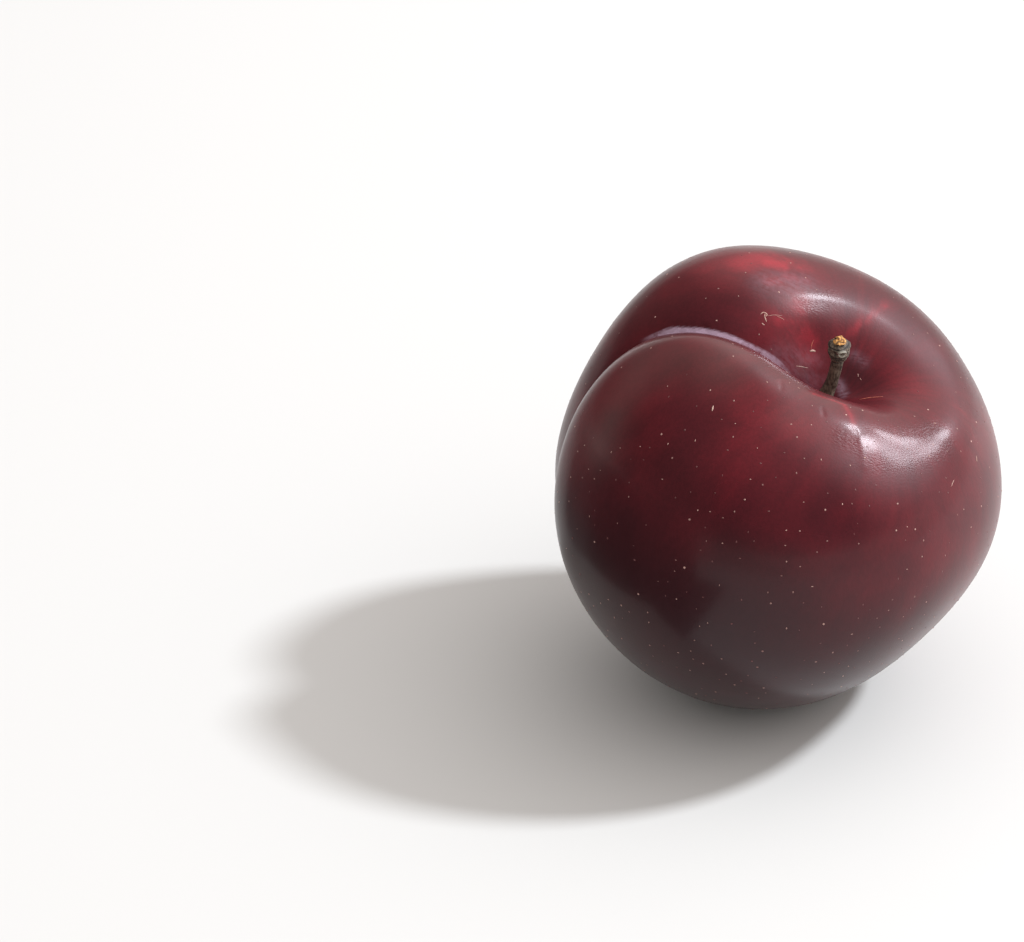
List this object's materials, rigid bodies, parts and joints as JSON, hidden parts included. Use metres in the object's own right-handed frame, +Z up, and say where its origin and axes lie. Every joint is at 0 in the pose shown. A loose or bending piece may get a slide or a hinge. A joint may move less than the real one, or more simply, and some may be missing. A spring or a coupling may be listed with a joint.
{
  "type": "plum",
  "caption": "Whole ripe dark red plum, lying tilted on a small flat spot, with a suture furrow, a stem cavity and a short woody stem.",
  "frame": {"origin": "on the surface it rests on, under the middle of the bounding box", "axes": "+Z up from the surface, the stem end leans towards +X and -Y, and the suture faces -X"},
  "size_m": [0.0624, 0.0656, 0.0592],
  "materials": {
    "skin": "waxy dark red skin with a thin bloom",
    "stem_wood": "dry brown bark"
  },
  "bodies": {
    "root": {"fruit": "skin", "stem": "stem_wood"}
  },
  "joints": []
}
